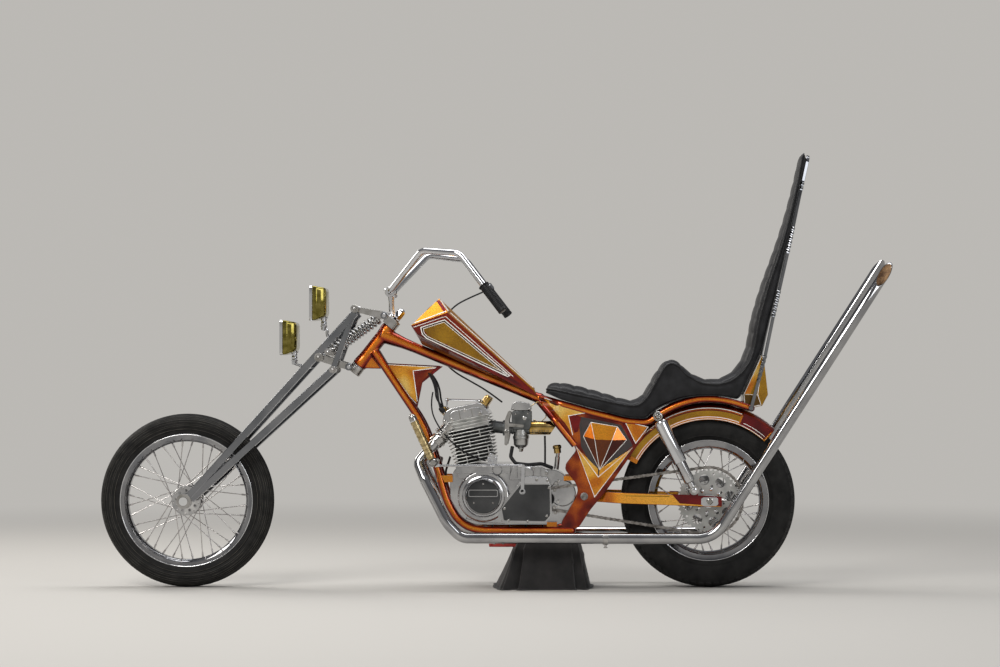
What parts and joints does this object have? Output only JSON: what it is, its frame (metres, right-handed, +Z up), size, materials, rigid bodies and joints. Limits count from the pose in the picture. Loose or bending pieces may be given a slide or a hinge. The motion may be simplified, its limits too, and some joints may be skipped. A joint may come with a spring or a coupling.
{
  "type": "chopper motorcycle",
  "caption": "Long-forked custom motorcycle with a girder fork, twin engine, high backrest and upswept pipes, held upright on a covered stand.",
  "frame": {"origin": "on the floor, under the middle of the overall length and width", "axes": "+Z up, -X the way the machine faces, -Y its left side"},
  "size_m": [2.8419, 0.6708, 1.558],
  "materials": {
    "paint": "gloss metal-flake orange",
    "chrome": "polished",
    "cast_alloy": "cast, polished on the covers",
    "barrel_alloy": "finned, dull",
    "brass": "polished",
    "black_vinyl": "pleated vinyl",
    "tyre": "black",
    "rubber": "black",
    "chain_steel": "oiled",
    "cloth": "matt black cloth",
    "pad_red": "red",
    "stand_steel": "black",
    "spoke_steel": "polished"
  },
  "bodies": {
    "frame": {"air_stacks": "brass", "alternator_cover": "cast_alloy", "carburettors": "cast_alloy", "clutch_cover": "cast_alloy", "control_cable": "rubber", "crankcase": "cast_alloy", "cylinder_barrel": "barrel_alloy", "cylinder_head": "cast_alloy", "drive_chain": "chain_steel", "exhaust_left": "chrome", "exhaust_right": "chrome", "foot_pegs": "chrome", "fuel_tank": "paint", "main_frame": "paint", "plug_leads": "rubber", "rear_fender": "paint", "seat": "black_vinyl", "shift_rod": "chrome", "shock_absorbers": "chrome", "side_covers": "paint", "sissy_bar": "chrome", "sprocket_cover": "cast_alloy", "stand_block": "stand_steel", "stand_cover": "cloth", "stand_pad": "pad_red", "swing_arm": "paint", "tail_box": "paint", "tappet_caps": "brass"},
    "front_fork": {"steering_stem": "chrome", "fork_links": "chrome", "girder_left": "chrome", "girder_right": "chrome", "fork_springs": "chrome", "headlamps": "brass", "lamp_brackets": "chrome", "handlebar": "chrome", "grips": "rubber", "front_axle": "chrome"},
    "front_wheel": {"front_tyre": "tyre", "front_rim": "chrome", "front_hub": "spoke_steel"},
    "rear_wheel": {"rear_tyre": "tyre", "rear_rim": "chrome", "rear_hub": "spoke_steel", "rear_sprocket": "chrome"}
  },
  "joints": [
    {"name": "steering", "type": "hinge", "parent": "frame", "child": "front_fork", "pos_m": [-0.4828, 0, 0.7945], "axis": [0.6198, 0, 0.7848], "range_deg": [-30, 30], "deforming": ["control_cable"]},
    {"name": "front_wheel_spin", "type": "hinge", "parent": "front_fork", "child": "front_wheel", "pos_m": [-1.098, 0, 0.3115], "axis": [0, 1, 0], "continuous": true},
    {"name": "rear_wheel_spin", "type": "hinge", "parent": "frame", "child": "rear_wheel", "pos_m": [0.774, 0, 0.313], "axis": [0, 1, 0], "continuous": true}
  ]
}
